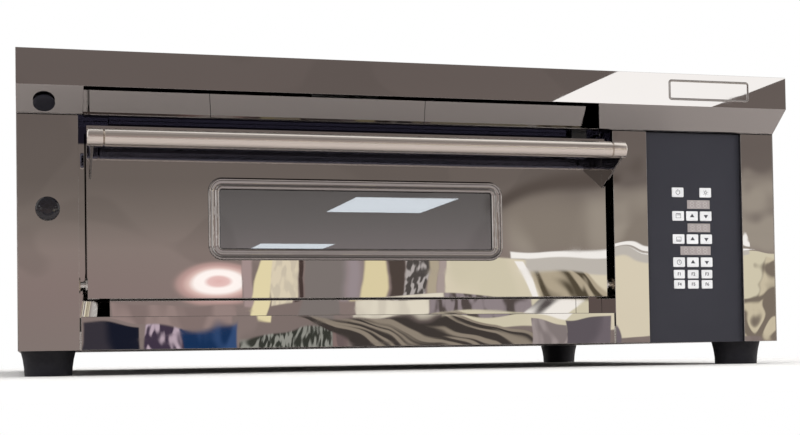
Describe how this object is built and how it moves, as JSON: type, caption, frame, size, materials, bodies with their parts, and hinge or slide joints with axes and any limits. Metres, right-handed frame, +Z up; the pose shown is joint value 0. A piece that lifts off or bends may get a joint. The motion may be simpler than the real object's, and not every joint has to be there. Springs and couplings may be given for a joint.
{
  "type": "electric deck oven",
  "caption": "Single-deck electric baking oven with a mirror-polished casing, drop-down glazed door, round bar handle, steam crown and side key panel on rubber feet.",
  "frame": {"origin": "on the floor under the middle of the whole footprint, spigots and handle included", "axes": "+X to the right of someone facing the door, which is the longest side, +Z up; the door opens towards -Y"},
  "size_m": [1.34, 1.149, 0.515],
  "materials": {
    "polished_steel": "mirror-polished stainless sheet",
    "plain_steel": "plain mill-finish stainless sheet",
    "zinc_steel": "bright zinc-plated steel",
    "brushed_handle": "fine brushed stainless tube",
    "bezel_chrome": "bright chrome",
    "foot_rubber": "matt black moulded rubber",
    "seal_cord": "woven heat-proof sealing cord",
    "switch_plastic": "grey moulded plastic",
    "mineral_wool": "pressed mineral wool board",
    "fire_clay": "fired clay slab",
    "element_steel": "dark oxidised sheath",
    "bush_brass": "turned brass",
    "panel_paint": "fine matt powder coat",
    "display_face": "grey display window",
    "electric_parts": "boards and moulded electric parts",
    "black_plastic": "satin black plastic",
    "black_gloss": "glossy black plastic",
    "key_plastic": "satin white plastic",
    "window_glass": "tinted toughened glass"
  },
  "bodies": {
    "cabinet": {"baking_stone": "fire_clay", "base_frame": "plain_steel", "cable_gland": "black_plastic", "chamber_lamp": "zinc_steel", "chamber_liner": "plain_steel", "control_electrics": "electric_parts", "control_fascia": "panel_paint", "control_trim_inner": "polished_steel", "control_trim_outer": "polished_steel", "crown_hood": "polished_steel", "display_modules": "display_face", "door_seal": "seal_cord", "door_springs": "zinc_steel", "door_switch": "switch_plastic", "element_supports": "plain_steel", "exhaust_ducts": "plain_steel", "fasteners": "zinc_steel", "guide_bushes": "bush_brass", "heating_elements": "element_steel", "hood_insert_panel": "polished_steel", "insulation": "mineral_wool", "kick_panel": "polished_steel", "lamp_lens": "window_glass", "left_front_column": "polished_steel", "left_side_panel": "polished_steel", "mouth_frame": "polished_steel", "name_plate": "polished_steel", "rear_panel": "polished_steel", "right_side_panel": "polished_steel", "rubber_feet": "foot_rubber", "temperature_probes": "zinc_steel", "top_panel": "polished_steel"},
    "door": {"door_outer_skin": "polished_steel", "door_inner_skin": "plain_steel", "door_insulation": "mineral_wool", "window_bezel": "bezel_chrome", "window_panes": "window_glass", "handle_bar": "brushed_handle", "handle_brackets": "polished_steel", "hinge_pins": "zinc_steel"},
    "damper": {"damper_slide": "zinc_steel", "damper_knob": "black_gloss"},
    "hood_push": {"hood_button": "black_plastic"},
    "power_key_cap": {"power_key": "key_plastic"},
    "light_key_cap": {"light_key": "key_plastic"},
    "upper_heat_mode_key_cap": {"upper_heat_mode_key": "key_plastic"},
    "upper_heat_up_key_cap": {"upper_heat_up_key": "key_plastic"},
    "upper_heat_down_key_cap": {"upper_heat_down_key": "key_plastic"},
    "lower_heat_mode_key_cap": {"lower_heat_mode_key": "key_plastic"},
    "lower_heat_up_key_cap": {"lower_heat_up_key": "key_plastic"},
    "lower_heat_down_key_cap": {"lower_heat_down_key": "key_plastic"},
    "timer_mode_key_cap": {"timer_mode_key": "key_plastic"},
    "timer_up_key_cap": {"timer_up_key": "key_plastic"},
    "timer_down_key_cap": {"timer_down_key": "key_plastic"},
    "program_1_key_cap": {"program_1_key": "key_plastic"},
    "program_2_key_cap": {"program_2_key": "key_plastic"},
    "program_3_key_cap": {"program_3_key": "key_plastic"},
    "program_4_key_cap": {"program_4_key": "key_plastic"},
    "program_5_key_cap": {"program_5_key": "key_plastic"},
    "program_6_key_cap": {"program_6_key": "key_plastic"}
  },
  "joints": [
    {"name": "door_hinge", "type": "hinge", "parent": "cabinet", "child": "door", "pos_m": [0, -0.4665, 0.146], "axis": [1, 0, 0], "range_deg": [0, 90], "stiffness_Nm_per_rad": 5, "springref_deg": -34.38, "deforming": ["door_springs"]},
    {"name": "damper_pull", "type": "slide", "parent": "cabinet", "child": "damper", "axis": [0, -1, 0], "range_m": [0, 0.06]},
    {"name": "hood_button_push", "type": "slide", "parent": "cabinet", "child": "hood_push", "axis": [0, 0.6078, 0.7941], "range_m": [0, 0.003], "stiffness_N_per_m": 400, "springref_m": -0.003},
    {"name": "power_key_press", "type": "slide", "parent": "cabinet", "child": "power_key_cap", "axis": [0, 1, 0], "range_m": [0, 0.0005], "stiffness_N_per_m": 800, "springref_m": -0.0005},
    {"name": "light_key_press", "type": "slide", "parent": "cabinet", "child": "light_key_cap", "axis": [0, 1, 0], "range_m": [0, 0.0005], "stiffness_N_per_m": 800, "springref_m": -0.0005},
    {"name": "upper_heat_mode_key_press", "type": "slide", "parent": "cabinet", "child": "upper_heat_mode_key_cap", "axis": [0, 1, 0], "range_m": [0, 0.0005], "stiffness_N_per_m": 800, "springref_m": -0.0005},
    {"name": "upper_heat_up_key_press", "type": "slide", "parent": "cabinet", "child": "upper_heat_up_key_cap", "axis": [0, 1, 0], "range_m": [0, 0.0005], "stiffness_N_per_m": 800, "springref_m": -0.0005},
    {"name": "upper_heat_down_key_press", "type": "slide", "parent": "cabinet", "child": "upper_heat_down_key_cap", "axis": [0, 1, 0], "range_m": [0, 0.0005], "stiffness_N_per_m": 800, "springref_m": -0.0005},
    {"name": "lower_heat_mode_key_press", "type": "slide", "parent": "cabinet", "child": "lower_heat_mode_key_cap", "axis": [0, 1, 0], "range_m": [0, 0.0005], "stiffness_N_per_m": 800, "springref_m": -0.0005},
    {"name": "lower_heat_up_key_press", "type": "slide", "parent": "cabinet", "child": "lower_heat_up_key_cap", "axis": [0, 1, 0], "range_m": [0, 0.0005], "stiffness_N_per_m": 800, "springref_m": -0.0005},
    {"name": "lower_heat_down_key_press", "type": "slide", "parent": "cabinet", "child": "lower_heat_down_key_cap", "axis": [0, 1, 0], "range_m": [0, 0.0005], "stiffness_N_per_m": 800, "springref_m": -0.0005},
    {"name": "timer_mode_key_press", "type": "slide", "parent": "cabinet", "child": "timer_mode_key_cap", "axis": [0, 1, 0], "range_m": [0, 0.0005], "stiffness_N_per_m": 800, "springref_m": -0.0005},
    {"name": "timer_up_key_press", "type": "slide", "parent": "cabinet", "child": "timer_up_key_cap", "axis": [0, 1, 0], "range_m": [0, 0.0005], "stiffness_N_per_m": 800, "springref_m": -0.0005},
    {"name": "timer_down_key_press", "type": "slide", "parent": "cabinet", "child": "timer_down_key_cap", "axis": [0, 1, 0], "range_m": [0, 0.0005], "stiffness_N_per_m": 800, "springref_m": -0.0005},
    {"name": "program_1_key_press", "type": "slide", "parent": "cabinet", "child": "program_1_key_cap", "axis": [0, 1, 0], "range_m": [0, 0.0005], "stiffness_N_per_m": 800, "springref_m": -0.0005},
    {"name": "program_2_key_press", "type": "slide", "parent": "cabinet", "child": "program_2_key_cap", "axis": [0, 1, 0], "range_m": [0, 0.0005], "stiffness_N_per_m": 800, "springref_m": -0.0005},
    {"name": "program_3_key_press", "type": "slide", "parent": "cabinet", "child": "program_3_key_cap", "axis": [0, 1, 0], "range_m": [0, 0.0005], "stiffness_N_per_m": 800, "springref_m": -0.0005},
    {"name": "program_4_key_press", "type": "slide", "parent": "cabinet", "child": "program_4_key_cap", "axis": [0, 1, 0], "range_m": [0, 0.0005], "stiffness_N_per_m": 800, "springref_m": -0.0005},
    {"name": "program_5_key_press", "type": "slide", "parent": "cabinet", "child": "program_5_key_cap", "axis": [0, 1, 0], "range_m": [0, 0.0005], "stiffness_N_per_m": 800, "springref_m": -0.0005},
    {"name": "program_6_key_press", "type": "slide", "parent": "cabinet", "child": "program_6_key_cap", "axis": [0, 1, 0], "range_m": [0, 0.0005], "stiffness_N_per_m": 800, "springref_m": -0.0005}
  ]
}
